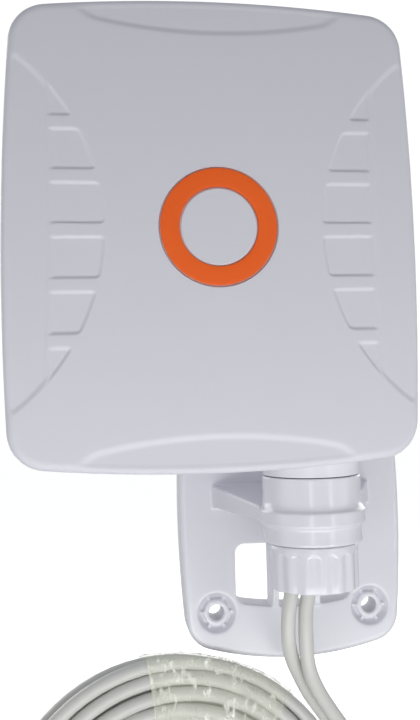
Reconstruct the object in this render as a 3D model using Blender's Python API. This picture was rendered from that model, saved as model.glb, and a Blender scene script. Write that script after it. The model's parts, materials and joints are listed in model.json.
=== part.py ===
"""Flat two-port panel antenna on a swivelling wall bracket, with its two coaxial cables.

The origin is the centre of the wall plate's back face. +Z is up, the wall is the plane y = 0,
and everything stands in front of it, towards -Y. Sizes in the constants are millimetres.
"""
from math import atan, cos, pi, radians, sin, sqrt

import bmesh
import bpy
from mathutils import Matrix, Vector

MM = 0.001
GAP = 0.3                      # clearance between pieces that touch

# Swivel: one vertical axis for the neck, the eye of the arm, the washer and the clamp nut
AXIS_Y = -55.0
COLLAR_R = 18.0
SPIGOT_R = 13.2
SPIGOT_BORE_R = 11.5
SPIGOT_BOTTOM = -21.0
NECK_FLANGE_R = 19.8           # flange that holds the neck between the two covers
NECK_FLANGE_Z = (22.2, 25.5)
SEAL_GROOVE = (13.8, 16.6, 2.2)                # inner and outer radius, height
BUSH_HEIGHT = 7.0
EYE_TOP = 14.3
EYE_BOTTOM = -9.6
EYE_R = 18.2
EYE_FLANGE_R = 19.6
WASHER_R = 16.4
WASHER_THICK = 1.6
NUT_BOTTOM = -26.2
NUT_R = 16.4
NUT_RIM = 2.6                  # plain part above the flutes
NUT_RUN_IN = 1.8               # height over which the flutes grow to full depth
FLUTE_DEPTH = 1.3
FLUTES = 16

# Wall plate and arm
PLATE_HALF_W = 45.8
PLATE_HALF_H = 62.3
PLATE_SIDE_BOW = 0.001         # edge moves in by this times the square of the height
PLATE_END_BOW = 0.0039
PLATE_CORNER_R = 12.0
PLATE_DEPTH = 14.0
PLATE_EDGE = 1.0
SCREW_HOLE = (31.5, 43.4)
SCREW_HOLE_R = 3.05
BOSS_R = 5.1
WELL_R = 7.6
WELL_DEPTH = 5.0
WINDOW_HALF_W = 23.5
WINDOW_Z = (16.9, 41.0)
RIB_X = (-7.4, 9.6)
RIB_THICK = 2.8
RIB_PROUD = 9.0
ARM_ROOT_HALF_W = 33.0
ARM_ROOT_Z = (-1.8, 6.9)
ARM_TIP_Z = (-3.2, 2.4)
EYE_FILLET_Z = 2.4             # where the flare above the flange begins
EYE_FILLET_HIGH = 3.5

# Panel, 150 x 170 mm; its depths are measured back from the front face
PANEL_X = -38.1
PANEL_Z = 103.0
FRONT_Y = AXIS_Y - 24.0
PANEL_TURN = 2.8               # degrees the panel is turned on its swivel, left edge forward
HALF_W = 75.0
HALF_H = 85.0
SIDE_BOW = 0.000456
END_BOW = 0.000835
CORNER_R = 14.0
EDGE_DEPTH = 2.3
WALL = 2.4
FACE_WALL = 3.6
FRONT_DEPTH = 19.4
SEAL_THICK = 0.6
REAR_START = FRONT_DEPTH + SEAL_THICK + 2 * GAP
REAR_DEPTH = 32.0
RING_OUTER_R = 21.07
RING_INNER_R = 14.3
RING_CENTRE = (1.3, 1.2)
RING_SINK = 1.0
PAD_ARC_R = 80.0
PAD_ARC_APEX = 40.5
PAD_LINE_X = 57.7
PAD_TIP_Z = 52.0
PAD_PITCH = 19.2
PAD_RUNG = 4.1
PAD_SINK = 1.0
BULGE_R = 22.6
BULGE_TOP = 58.0
BULGE_DOME = 14.0
FLANGE_ROOM = (20.2, 21.9, 30.0)               # radius, bottom, top
CASE_SCREWS = ((-66, -68), (66, -68), (-68, 0), (68, 0), (-66, 68), (66, 68))
CASE_BOSS_R = 3.4
CASE_SCREW_HOLE_R = 1.7
CASE_SCREW_SEAT = 29.0         # depth at which the heads rest

# Inside the panel
BOARD = (54.0, -64.0, 70.0, 19.4, 1.6)         # half width, bottom, top, depth, thickness
REFLECTOR = (58.0, -58.0, 74.0, 25.7, 1.0)
BOARD_SCREWS = ((-46, -50), (46, -50), (-46, 62), (46, 62))
RADIATOR_V = {"a": 38.0, "b": -26.0}
RADIATOR_HALF = 28.0
RADIATOR_DEPTH = 11.0
RADIATOR_THICK = 0.8
RADIATOR_NOTCH = (3.0, 6.0)                    # half width and length of the corner slots
CLAMP_BAR = (18.5, 4.5, 4.0)                   # half length, half width, height
CLAMP_SCREW_X = 15.2

# Cables
CABLE_R = 2.7
LEAD_X = {"left": -7.6, "right": -1.2}
LEAD_TOP = -14.3
COIL_CENTRE = (-50.0, -15.4, -129.3)
COIL_R = 58.6
BUNDLE_R = 13.0
WRAP_ANGLES = (50, 99)
TAIL_Y = {"left": -9.4, "right": -21.4}
TAIL_OUT = 66.5
TAIL_START = -31.5             # below the coil's centre
TAIL_END = {"left": -200.0, "right": -208.0}

# Cable ends: (radius, height below the end of the cable) profiles
BOOT = ((0, 0), (3.2, 0), (3.6, -4), (3.6, -18), (0, -18))
PLUG = ((0, -18.3), (3.1, -18.3), (3.1, -24), (4.0, -24.4), (4.0, -25.6), (2.2, -25.6),
        (2.2, -33), (0.7, -33), (0.45, -36.5), (0, -36.5))
COUPLING_HEX = ((4.6, -25.9), (4.6, -37.5))
COUPLING_BORE = ((3.1, -37.5), (3.1, -27.5), (2.5, -27.5), (2.5, -25.9))
COUPLING_POINTS = 18

COLOURS = {
    "cover_white": ((0.62, 0.62, 0.68), 0.42, 0.0),
    "bracket_white": ((0.66, 0.66, 0.69), 0.48, 0.0),
    "accent_orange": ((0.67, 0.13, 0.03), 0.4, 0.0),
    "cable_white": ((0.68, 0.68, 0.62), 0.45, 0.0),
    "film_clear": ((0.75, 0.78, 0.62), 0.15, 0.0),
    "rubber_grey": ((0.12, 0.12, 0.13), 0.8, 0.0),
    "aluminium": ((0.75, 0.76, 0.78), 0.35, 1.0),
    "board_green": ((0.03, 0.2, 0.08), 0.5, 0.0),
    "brass_plate": ((0.72, 0.55, 0.28), 0.35, 1.0),
    "nylon_white": ((0.8, 0.8, 0.78), 0.5, 0.0),
    "steel": ((0.6, 0.6, 0.62), 0.3, 1.0),
    "gold_plated": ((0.8, 0.6, 0.22), 0.25, 1.0),
    "boot_black": ((0.02, 0.02, 0.02), 0.6, 0.0),
}


# ---------------------------------------------------------------- helpers

def clear_scene():
    for obj in list(bpy.data.objects):
        bpy.data.objects.remove(obj, do_unlink=True)


def material(name):
    mat = bpy.data.materials.new(name)
    mat.use_nodes = True
    shader = mat.node_tree.nodes["Principled BSDF"]
    colour, rough, metal = COLOURS[name]
    shader.inputs["Base Color"].default_value = (*colour, 1.0)
    shader.inputs["Roughness"].default_value = rough
    shader.inputs["Metallic"].default_value = metal
    return mat


def add_object(name, bm, finish, place=None):
    """Turn a bmesh in millimetres into a closed, outward-facing object."""
    bmesh.ops.recalc_face_normals(bm, faces=bm.faces)
    bmesh.ops.scale(bm, vec=(MM, MM, MM), verts=bm.verts)
    mesh = bpy.data.meshes.new(name)
    bm.to_mesh(mesh)
    bm.free()
    if finish:
        mesh.materials.append(material(finish))
    obj = bpy.data.objects.new(name, mesh)
    bpy.context.scene.collection.objects.link(obj)
    if place is not None:
        obj.location = Vector(place) * MM
    mesh.shade_smooth()
    mesh.set_sharp_from_angle(angle=radians(35))
    return obj


def hang_on(name, place, turn, builders):
    """Run the builders and parent what they make to one empty on a joint's axis."""
    before = set(bpy.data.objects)
    for builder in builders:
        builder()
    pivot = bpy.data.objects.new(name, None)
    bpy.context.scene.collection.objects.link(pivot)
    pivot.location = Vector(place) * MM
    for obj in set(bpy.data.objects) - before - {pivot}:
        obj.parent = pivot
        obj.matrix_parent_inverse = Matrix.Translation(-pivot.location)
    pivot.rotation_euler.z = radians(turn)


def bridge(bm, first, second):
    """Quads between two rings of vertices, or a fan where one of them is a point."""
    count = max(len(first), len(second))
    for i in range(count):
        j = (i + 1) % count
        if len(first) == 1:
            bm.faces.new((first[0], second[i], second[j]))
        elif len(second) == 1:
            bm.faces.new((first[i], first[j], second[0]))
        else:
            bm.faces.new((first[i], first[j], second[j], second[i]))


def loft(rings, closed=False):
    """Skin a list of rings of points; flat caps at both ends unless the list is a closed loop."""
    bm = bmesh.new()
    loops = [[bm.verts.new(p) for p in ring] for ring in rings]
    for first, second in zip(loops, loops[1:]):
        bridge(bm, first, second)
    if closed:
        bridge(bm, loops[-1], loops[0])
    else:
        for loop in (loops[0], loops[-1]):
            if len(loop) > 1:
                bm.faces.new(loop)
    return bm


def turned(profile, segments, closed=False):
    """Revolve (radius, height) points about Z."""
    rings = []
    for r, h in profile:
        if r < 1e-6:
            rings.append([(0, 0, h)])
        else:
            angles = [2 * pi * k / segments for k in range(segments)]
            rings.append([(r * cos(a), r * sin(a), h) for a in angles])
    return loft(rings, closed)


def rotated(bm, angle, axis):
    bmesh.ops.rotate(bm, verts=bm.verts, matrix=Matrix.Rotation(radians(angle), 3, axis))
    return bm


def box(x, y, z):
    """A box from three (low, high) pairs."""
    corners = [(x[0], y[0]), (x[1], y[0]), (x[1], y[1]), (x[0], y[1])]
    return loft([[(a, b, h) for a, b in corners] for h in z])


def cut(target, cutter, operation="DIFFERENCE"):
    """Cut with, or join on, another object, which stays as a hidden guide."""
    cutter.hide_render = True
    cutter.display_type = "WIRE"
    mod = target.modifiers.new(cutter.name, "BOOLEAN")
    mod.operation = operation
    mod.solver = "EXACT"
    mod.object = cutter


def barrel(half_w, half_h, side_bow, end_bow, radius, inset=0.0, edge_steps=6, corner_steps=4):
    """Outline with bowed edges and round corners, counter-clockwise from the right side."""
    w, h, r = half_w - inset, half_h - inset, radius - inset
    side_at, end_at = h - r, w - r
    for _ in range(20):
        side_angle = atan(2 * side_bow * side_at)
        end_angle = atan(2 * end_bow * end_at)
        centre = (w - side_bow * side_at ** 2 - r * cos(side_angle),
                  h - end_bow * end_at ** 2 - r * cos(end_angle))
        side_at = centre[1] + r * sin(side_angle)
        end_at = centre[0] + r * sin(end_angle)
    quarter = []
    for k in range(edge_steps // 2):
        z = side_at * k / (edge_steps // 2)
        quarter.append((w - side_bow * z * z, z))
    for k in range(corner_steps + 1):
        a = side_angle + (pi / 2 - end_angle - side_angle) * k / corner_steps
        quarter.append((centre[0] + r * cos(a), centre[1] + r * sin(a)))
    for k in range(1, edge_steps // 2 + 1):
        x = end_at * (1 - k / (edge_steps // 2))
        quarter.append((x, h - end_bow * x * x))
    right_top = quarter
    left_top = [(-x, z) for x, z in reversed(quarter[:-1])]
    left_bottom = [(-x, -z) for x, z in quarter[1:]]
    right_bottom = [(x, -z) for x, z in reversed(quarter[1:-1])]
    return right_top + left_top + left_bottom + right_bottom


def smooth_route(points, steps):
    """Points along a centripetal curve through the given ones."""
    pts = [Vector(p) for p in points]
    pts = [2 * pts[0] - pts[1], *pts, 2 * pts[-1] - pts[-2]]
    out = []
    for p0, p1, p2, p3 in zip(pts, pts[1:], pts[2:], pts[3:]):
        for k in range(steps):
            t = k / steps
            out.append(0.5 * (2 * p1 + (p2 - p0) * t + (2 * p0 - 5 * p1 + 4 * p2 - p3) * t * t
                              + (3 * p1 - p0 - 3 * p2 + p3) * t ** 3))
    out.append(pts[-2])
    return out


def cable_tube(name, points, finish="cable_white"):
    curve = bpy.data.curves.new(name, "CURVE")
    curve.dimensions = "3D"
    curve.bevel_depth = CABLE_R * MM
    curve.bevel_resolution = 2
    curve.use_fill_caps = True
    curve.render_resolution_u = 0
    spline = curve.splines.new("POLY")
    spline.points.add(len(points) - 1)
    for slot, point in zip(spline.points, points):
        slot.co = (*(Vector(point) * MM), 1.0)
    curve.materials.append(material(finish))
    obj = bpy.data.objects.new(name, curve)
    bpy.context.scene.collection.objects.link(obj)
    return obj


def on_axis(bm):
    """Move a piece turned about Z onto the swivel axis."""
    bmesh.ops.translate(bm, verts=bm.verts, vec=(0, AXIS_Y, 0))
    return bm


def in_panel(bm):
    """Lay a piece made in (across, up, depth) axes into the panel: x, z and back from the face."""
    frame = Matrix(((1, 0, 0, PANEL_X), (0, 0, 1, FRONT_Y), (0, 1, 0, PANEL_Z), (0, 0, 0, 1)))
    bmesh.ops.transform(bm, matrix=frame, verts=bm.verts)
    return bm


def panel_outline(inset, depth):
    points = barrel(HALF_W, HALF_H, SIDE_BOW, END_BOW, CORNER_R, inset)
    return [(x, z, depth) for x, z in points]


# ---------------------------------------------------------------- wall bracket

def plate_shell():
    def ring(inset, y):
        points = barrel(PLATE_HALF_W, PLATE_HALF_H, PLATE_SIDE_BOW, PLATE_END_BOW,
                        PLATE_CORNER_R, inset, edge_steps=4)
        return [(x, y, z) for x, z in points]
    return loft([ring(0, 0), ring(0, PLATE_EDGE - PLATE_DEPTH), ring(PLATE_EDGE, -PLATE_DEPTH)])


def arm_outline():
    """Half outline of the arm, seen from above, from the plate to the eye."""
    reach = -AXIS_Y - PLATE_DEPTH
    lean = (ARM_ROOT_HALF_W - EYE_FLANGE_R * 0.98) / reach
    touch = atan(lean)
    side = (EYE_FLANGE_R * cos(touch) - 0.2, AXIS_Y + EYE_FLANGE_R * sin(touch))
    return [(ARM_ROOT_HALF_W, 1 - PLATE_DEPTH), side]


def arm_block():
    (root_x, root_y), (side_x, side_y) = arm_outline()
    rings = []
    for level in (0, 1):
        root_z, tip_z = ARM_ROOT_Z[level], ARM_TIP_Z[level]
        rings.append([(root_x, root_y, root_z), (side_x, side_y, tip_z),
                      (-side_x, side_y, tip_z), (-root_x, root_y, root_z)])
    return loft(rings)


def eye_profile():
    flare = EYE_FLANGE_R - EYE_R
    fillet = [(EYE_R + flare * (1 - sin(a)), EYE_FILLET_Z + EYE_FILLET_HIGH * (1 - cos(a)))
              for a in (radians(t) for t in (0, 30, 60, 90))]
    outer = [(EYE_R, EYE_BOTTOM), (EYE_R, -3.2), (EYE_FLANGE_R, -2.6), *fillet, (EYE_R, EYE_TOP)]
    bore = SPIGOT_R + GAP
    return [(bore, EYE_BOTTOM), *outer, (bore, EYE_TOP)]


def gusset(x):
    """Vertical rib through the lower window, standing out under the arm."""
    half = RIB_THICK / 2
    side = [(-1.5, -13.0), (-PLATE_DEPTH - RIB_PROUD, 0.5), (-PLATE_DEPTH - RIB_PROUD, -5.0),
            (-PLATE_DEPTH - 0.5, -WINDOW_Z[1] - 1.0), (-1.5, -WINDOW_Z[1] - 1.0)]
    return loft([[(px, y, z) for y, z in side] for px in (x - half, x + half)])


def wall_bracket():
    plate = add_object("wall_bracket", plate_shell(), "bracket_white")
    cut(plate, add_object("cut_arm", arm_block(), None), "UNION")
    cut(plate, add_object("cut_eye", on_axis(turned(eye_profile(), 32, True)), None), "UNION")
    bore = turned([(0, -40), (SPIGOT_R + GAP, -40), (SPIGOT_R + GAP, 40), (0, 40)], 32)
    cut(plate, add_object("cut_bore", on_axis(bore), None))
    for side in (-1, 1):
        low, high = sorted((side * WINDOW_Z[0], side * WINDOW_Z[1]))
        window = box((-WINDOW_HALF_W, WINDOW_HALF_W), (-PLATE_DEPTH - 3, 1), (low, high))
        bmesh.ops.bevel(window, geom=[e for e in window.edges if abs(
            e.verts[0].co.y - e.verts[1].co.y) > 1], offset=3, segments=2, affect="EDGES")
        cut(plate, add_object(f"cut_window_{side}", window, None))
    for x in RIB_X:
        cut(plate, add_object(f"rib_{x}", gusset(x), None), "UNION")
    for x in (-SCREW_HOLE[0], SCREW_HOLE[0]):
        for z in (-SCREW_HOLE[1], SCREW_HOLE[1]):
            hole = turned([(0, -5), (SCREW_HOLE_R, -5), (SCREW_HOLE_R, 20), (0, 20)], 16)
            well = turned([(BOSS_R, 0), (WELL_R, 0), (WELL_R, 8), (BOSS_R, 8)], 20, True)
            top = turned([(0, 4.0), (BOSS_R + 0.3, 4.0), (BOSS_R + 0.3, 8), (0, 8)], 20)
            for label, bm in (("hole", hole), ("well", well), ("top", top)):
                rotated(bm, 90, "X")
                depth = 0 if label == "hole" else WELL_DEPTH - PLATE_DEPTH
                bmesh.ops.translate(bm, verts=bm.verts, vec=(x, depth, z))
                cut(plate, add_object(f"cut_{label}_{x}_{z}", bm, None))
    return plate


# ---------------------------------------------------------------- swivel

def swivel_neck():
    shoulder = EYE_TOP + GAP
    flange, top = NECK_FLANGE_Z
    groove_in, groove_out, groove_high = SEAL_GROOVE
    profile = [(SPIGOT_BORE_R, SPIGOT_BOTTOM), (SPIGOT_R, SPIGOT_BOTTOM), (SPIGOT_R, shoulder),
               (groove_in, shoulder), (groove_in, shoulder + groove_high),
               (groove_out, shoulder + groove_high), (groove_out, shoulder),
               (COLLAR_R, shoulder), (COLLAR_R, flange), (NECK_FLANGE_R, flange),
               (NECK_FLANGE_R, top), (SPIGOT_BORE_R, top)]
    neck = add_object("swivel_neck", on_axis(turned(profile, 32, True)), "bracket_white")
    for side in (-1, 1):
        hole = turned([(0, 19), (1.5, 19), (1.5, 35), (0, 35)], 12)
        bmesh.ops.translate(hole, verts=hole.verts, vec=(side * CLAMP_SCREW_X, AXIS_Y, 0))
        cut(neck, add_object(f"cut_neck_{side}", hole, None))


def neck_seal():
    groove_in, groove_out, groove_high = SEAL_GROOVE
    low = EYE_TOP + GAP
    inner, outer, high = groove_in + GAP, groove_out - GAP, low + groove_high - 0.4
    profile = [(inner, low), (outer, low), (outer, high), (inner, high)]
    add_object("neck_seal", on_axis(turned(profile, 32, True)), "rubber_grey")


def clamp_washer():
    top = EYE_BOTTOM - GAP
    profile = [(SPIGOT_R + GAP, top), (WASHER_R, top), (WASHER_R, top - WASHER_THICK),
               (SPIGOT_R + GAP, top - WASHER_THICK)]
    add_object("clamp_washer", on_axis(turned(profile, 32, True)), "bracket_white")


def clamp_nut():
    """Ring nut with a plain top flange and rounded flutes below it."""
    top = EYE_BOTTOM - WASHER_THICK - 2 * GAP
    count = FLUTES * 4
    angles = [2 * pi * k / count for k in range(count)]

    def ring(radius, depth, height):
        radii = [radius - depth * (0.5 - 0.5 * cos(FLUTES * a)) for a in angles]
        return [(r * cos(a), r * sin(a), height) for r, a in zip(radii, angles)]

    bore = SPIGOT_R + GAP
    full = top - NUT_RIM - NUT_RUN_IN
    rings = [ring(bore, 0, top), ring(NUT_R, 0, top), ring(NUT_R, 0, top - NUT_RIM),
             ring(NUT_R, FLUTE_DEPTH, full), ring(NUT_R - 0.3, FLUTE_DEPTH, NUT_BOTTOM),
             ring(bore, 0, NUT_BOTTOM)]
    add_object("clamp_nut", on_axis(loft(rings, True)), "bracket_white")


def gland_bush():
    """Rubber plug in the mouth of the spigot, with a hole for each cable."""
    r = SPIGOT_BORE_R - GAP
    low, high = SPIGOT_BOTTOM, SPIGOT_BOTTOM + BUSH_HEIGHT
    plug = turned([(0, low), (r, low), (r, high), (0, high)], 32)
    bush = add_object("gland_bush", on_axis(plug), "rubber_grey")
    for side, x in LEAD_X.items():
        hole = turned([(0, -30), (CABLE_R + GAP, -30), (CABLE_R + GAP, 0), (0, 0)], 16)
        bmesh.ops.translate(hole, verts=hole.verts, vec=(x, AXIS_Y, 0))
        cut(bush, add_object(f"cut_bush_{side}", hole, None))


# ---------------------------------------------------------------- panel covers

def neck_opening(name):
    r = COLLAR_R + GAP
    bm = turned([(0, 5), (r, 5), (r, 24), (0, 24)], 32)
    return add_object(name, on_axis(bm), None)


def flange_room(name):
    r, low, high = FLANGE_ROOM
    bm = turned([(0, low), (r, low), (r, high), (0, high)], 32)
    return add_object(name, on_axis(bm), None)


def pad_outline(low, high, side):
    """One recessed pad between the long arc and the line near the side edge."""
    arc_centre = PAD_ARC_APEX + PAD_ARC_R
    line_bow = (PAD_LINE_X - (arc_centre - sqrt(PAD_ARC_R ** 2 - PAD_TIP_Z ** 2))) / PAD_TIP_Z ** 2
    steps = 3
    levels = [low + (high - low) * k / steps for k in range(steps + 1)]
    inner = [(arc_centre - sqrt(PAD_ARC_R ** 2 - z * z), z) for z in levels]
    outer = [(PAD_LINE_X - line_bow * z * z, z) for z in reversed(levels)]
    return [(side * x, z) for x, z in inner + outer]


def column(radius, low, high, at, segments=16):
    bm = turned([(0, low), (radius, low), (radius, high), (0, high)], segments)
    bmesh.ops.translate(bm, verts=bm.verts, vec=(at[0], at[1], 0))
    return in_panel(bm)


def front_cover():
    rings = [panel_outline(3.4, 0), panel_outline(1.0, 0.7), panel_outline(0, EDGE_DEPTH),
             panel_outline(0, FRONT_DEPTH), panel_outline(WALL, FRONT_DEPTH),
             panel_outline(WALL, FACE_WALL)]
    cover = add_object("front_cover", in_panel(loft(rings)), "cover_white")
    half = PAD_RUNG / 2
    for side in (-1, 1):
        for k in range(-3, 3):
            low, high = k * PAD_PITCH + half, (k + 1) * PAD_PITCH - half
            low, high = max(low, -PAD_TIP_Z + 1.5), min(high, PAD_TIP_Z - 1.5)
            outline = pad_outline(low, high, side)
            bm = loft([[(x, z, d) for x, z in outline] for d in (-1.0, PAD_SINK)])
            cut(cover, add_object(f"cut_pad_{side}_{k}", in_panel(bm), None))
    groove = turned([(RING_INNER_R - GAP, -1), (RING_OUTER_R + GAP, -1),
                     (RING_OUTER_R + GAP, RING_SINK), (RING_INNER_R - GAP, RING_SINK)], 48, True)
    bmesh.ops.translate(groove, verts=groove.verts, vec=(*RING_CENTRE, 0))
    cut(cover, add_object("cut_groove", in_panel(groove), None))
    for k, at in enumerate(CASE_SCREWS):
        boss = column(CASE_BOSS_R, FACE_WALL - 0.5, FRONT_DEPTH, at)
        cut(cover, add_object(f"boss_front_{k}", boss, None), "UNION")
        shank = column(CASE_SCREW_HOLE_R, 8, 25, at, 12)
        cut(cover, add_object(f"cut_boss_{k}", shank, None))
    cut(cover, neck_opening("cut_front_neck"))
    cut(cover, flange_room("cut_front_flange"))


def rear_cover():
    rings = [panel_outline(0, REAR_START), panel_outline(0, REAR_DEPTH - 4),
             panel_outline(1.2, REAR_DEPTH - 1.2), panel_outline(4, REAR_DEPTH)]
    cover = add_object("rear_cover", in_panel(loft(rings)), "cover_white")
    dome = [(BULGE_R * cos(a), BULGE_TOP - BULGE_DOME + BULGE_DOME * sin(a))
            for a in (radians(t) for t in (0, 30, 60, 80))]
    bulge = turned([(0, 19.4), (BULGE_R, 19.4), *dome, (0, BULGE_TOP)], 32)
    room, floor, _ = FLANGE_ROOM
    hollow = turned([(0, floor), (room, floor), (room, BULGE_TOP - 12), (12, BULGE_TOP - 4),
                     (0, BULGE_TOP - 3)], 32)
    cut(cover, add_object("join_bulge", on_axis(bulge), None), "UNION")
    cavity = loft([panel_outline(WALL, REAR_START - 5), panel_outline(WALL, REAR_DEPTH - WALL)])
    cut(cover, add_object("cut_cavity", in_panel(cavity), None))
    cut(cover, add_object("cut_bulge", on_axis(hollow), None))
    for k, at in enumerate(CASE_SCREWS):
        boss = column(CASE_BOSS_R, REAR_START, REAR_DEPTH - 1, at)
        cut(cover, add_object(f"boss_rear_{k}", boss, None), "UNION")
        shank = column(CASE_SCREW_HOLE_R, 10, 31, at, 12)
        cut(cover, add_object(f"cut_shank_{k}", shank, None))
        head = column(3.2, CASE_SCREW_SEAT, 45, at, 16)
        cut(cover, add_object(f"cut_head_{k}", head, None))
    for k, at in enumerate(BOARD_SCREWS):
        low = REFLECTOR[3] + REFLECTOR[4] + GAP
        boss = column(CASE_BOSS_R, low, REAR_DEPTH - 1, at)
        cut(cover, add_object(f"boss_board_{k}", boss, None), "UNION")
        cut(cover, add_object(f"cut_board_{k}", column(1.5, 10, 30.4, at, 12), None))
    front = box((-200, 100), (-140, FRONT_Y + REAR_START), (-20, 220))
    cut(cover, add_object("cut_front_half", front, None))
    cut(cover, neck_opening("cut_rear_neck"))


def cover_seal():
    low = FRONT_DEPTH + GAP
    rings = [panel_outline(0.4, low), panel_outline(0.4, low + SEAL_THICK),
             panel_outline(2.1, low + SEAL_THICK), panel_outline(2.1, low)]
    seal = add_object("cover_seal", in_panel(loft(rings, True)), "rubber_grey")
    cut(seal, neck_opening("cut_seal_neck"))
    cut(seal, flange_room("cut_seal_flange"))


def accent_ring():
    profile = [(RING_INNER_R, -0.3), (RING_OUTER_R, -0.3), (RING_OUTER_R, RING_SINK - GAP),
               (RING_INNER_R, RING_SINK - GAP)]
    bm = turned(profile, 48, True)
    bmesh.ops.translate(bm, verts=bm.verts, vec=(*RING_CENTRE, 0))
    add_object("accent_ring", in_panel(bm), "accent_orange")


def screw(name, at, head_depth, head_r, shank_r, tip_depth):
    """Pan-head screw along the panel's depth axis; the head faces away from its tip."""
    away = 1 if head_depth > tip_depth else -1
    profile = [(0, tip_depth), (shank_r, tip_depth + away * 1.0), (shank_r, head_depth),
               (head_r, head_depth), (head_r * 0.92, head_depth + away * 1.4),
               (0, head_depth + away * 1.8)]
    bm = turned(profile, 12)
    bmesh.ops.translate(bm, verts=bm.verts, vec=(at[0], at[1], 0))
    add_object(name, in_panel(bm), "steel")


def case_screws():
    for k, at in enumerate(CASE_SCREWS, 1):
        screw(f"case_screw_{k}", at, CASE_SCREW_SEAT + GAP, 2.8, 1.4, 9.0)


# ---------------------------------------------------------------- inside the panel

def flat_sheet(name, sheet, finish, hole_r):
    half, bottom, top, depth, thick = sheet
    outline = [(-half, bottom + 4), (-half + 4, bottom), (half - 4, bottom), (half, bottom + 4),
               (half, top - 4), (half - 4, top), (-half + 4, top), (-half, top - 4)]
    bm = loft([[(x, z, d) for x, z in outline] for d in (depth, depth + thick)])
    obj = add_object(name, in_panel(bm), finish)
    for k, at in enumerate(BOARD_SCREWS):
        hole = column(hole_r, depth - 2, depth + thick + 2, at, 12)
        cut(obj, add_object(f"cut_{name}_{k}", hole, None))


def board_stack():
    flat_sheet("feed_board", BOARD, "board_green", 1.5)
    flat_sheet("reflector_plate", REFLECTOR, "aluminium", 1.5)
    board_back = BOARD[3] + BOARD[4]
    for k, at in enumerate(BOARD_SCREWS, 1):
        profile = [(1.5, board_back + GAP), (3.2, board_back + GAP),
                   (3.2, REFLECTOR[3] - GAP), (1.5, REFLECTOR[3] - GAP)]
        bm = turned(profile, 12, True)
        bmesh.ops.translate(bm, verts=bm.verts, vec=(at[0], at[1], 0))
        add_object(f"standoff_{k}", in_panel(bm), "nylon_white")
        screw(f"board_screw_{k}", at, BOARD[3] - GAP, 2.6, 1.2, 29.8)


def radiators():
    """Two square patches set on their corners, each on a nylon post clipped to the board."""
    for label, up in RADIATOR_V.items():
        h = RADIATOR_HALF
        n, slot = RADIATOR_NOTCH
        outline = [(h, 0), (n, h - n), (n, h - n - slot), (-n, h - n - slot), (-n, h - n),
                   (-h, 0), (-n, -h + n), (-n, -h + n + slot), (n, -h + n + slot), (n, -h + n)]
        front, back = RADIATOR_DEPTH, RADIATOR_DEPTH + RADIATOR_THICK
        bm = loft([[(x, z + up, d) for x, z in outline] for d in (front, back)])
        add_object(f"radiator_{label}", in_panel(bm), "brass_plate")
        post = column(4.0, back + GAP, BOARD[3] - GAP, (0, up), 16)
        add_object(f"radiator_post_{label}", post, "nylon_white")


def cable_clamp():
    """Bar across the top of the neck that grips both leads, held by two screws."""
    long, wide, high = CLAMP_BAR
    low = NECK_FLANGE_Z[1] + GAP
    bar = add_object("cable_clamp", box((-long, long), (AXIS_Y - wide, AXIS_Y + wide),
                                        (low, low + high)), "nylon_white")
    screws = (-CLAMP_SCREW_X, CLAMP_SCREW_X)
    spots = [(x, CABLE_R + GAP) for x in LEAD_X.values()] + [(x, 1.5) for x in screws]
    for k, (x, r) in enumerate(spots):
        hole = turned([(0, low - 2), (r, low - 2), (r, low + 8), (0, low + 8)], 12)
        bmesh.ops.translate(hole, verts=hole.verts, vec=(x, AXIS_Y, 0))
        cut(bar, add_object(f"cut_clamp_{k}", hole, None))
    for k, x in enumerate(screws, 1):
        top = low + high + GAP
        bm = turned([(0, 20), (1.2, 21), (1.2, top), (2.6, top), (2.4, top + 1.4),
                     (0, top + 1.8)], 12)
        bmesh.ops.translate(bm, verts=bm.verts, vec=(x, AXIS_Y, 0))
        add_object(f"clamp_screw_{k}", bm, "steel")


def inner_leads():
    """Each lead runs from the bush up through the neck, to the back of the feed board's foot."""
    start, end = LEAD_TOP + 2 * GAP, PANEL_Z + REFLECTOR[1] - 2 * GAP
    for side, x in LEAD_X.items():
        route = [(x, AXIS_Y, start + (end - start) * k / 4) for k in range(5)]
        cable_tube(f"inner_lead_{side}", route)


# ---------------------------------------------------------------- cables

def lead_route(side):
    """Hand-set route of a lead from the bush, down in front of the plate, to the coil."""
    x = LEAD_X[side]
    shared = [(0, 0, LEAD_TOP), (0, 0, -21.5), (-1.1, 0.1, -28), (-2.3, 0.5, -35)]
    points = [(x + dx, AXIS_Y + dy, z) for dx, dy, z in shared]
    if side == "left":
        points += [(-10.1, -52.9, -43.5), (-8.6, -49.6, -51.3), (-5.2, -45.0, -59.0),
                   (0.0, -39.0, -68.6), (5.6, -33.2, -76.7), (10.6, -28.0, -84.2),
                   (14.8, -23.4, -91.8), (16.9, -20.8, -97.3)]
    else:
        points += [(-3.7, -54.0, -44.5), (-2.6, -51.9, -55.0), (1.5, -47.5, -64.8),
                   (8.2, -40.6, -75.2), (13.6, -35.0, -83.4), (16.2, -30.6, -92.5),
                   (16.2, -26.9, -103.5)]
    return points


def free_leads():
    for side in LEAD_X:
        cable_tube(f"cable_{side}_lead", smooth_route(lead_route(side), 2))


def coil_section(radius, angle, segments):
    """One cross-section ring of the bundle, where the coil's centre circle is at this angle."""
    cx, cy, cz = COIL_CENTRE
    ring = []
    for k in range(segments):
        a = 2 * pi * k / segments
        r = COIL_R + radius * cos(a)
        ring.append((cx + r * cos(angle), cy + radius * sin(a), cz + r * sin(angle)))
    return ring


def cable_coil():
    steps = 40
    rings = [coil_section(BUNDLE_R, 2 * pi * k / steps, 12) for k in range(steps)]
    add_object("cable_coil", loft(rings, True), "cable_white")


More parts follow.
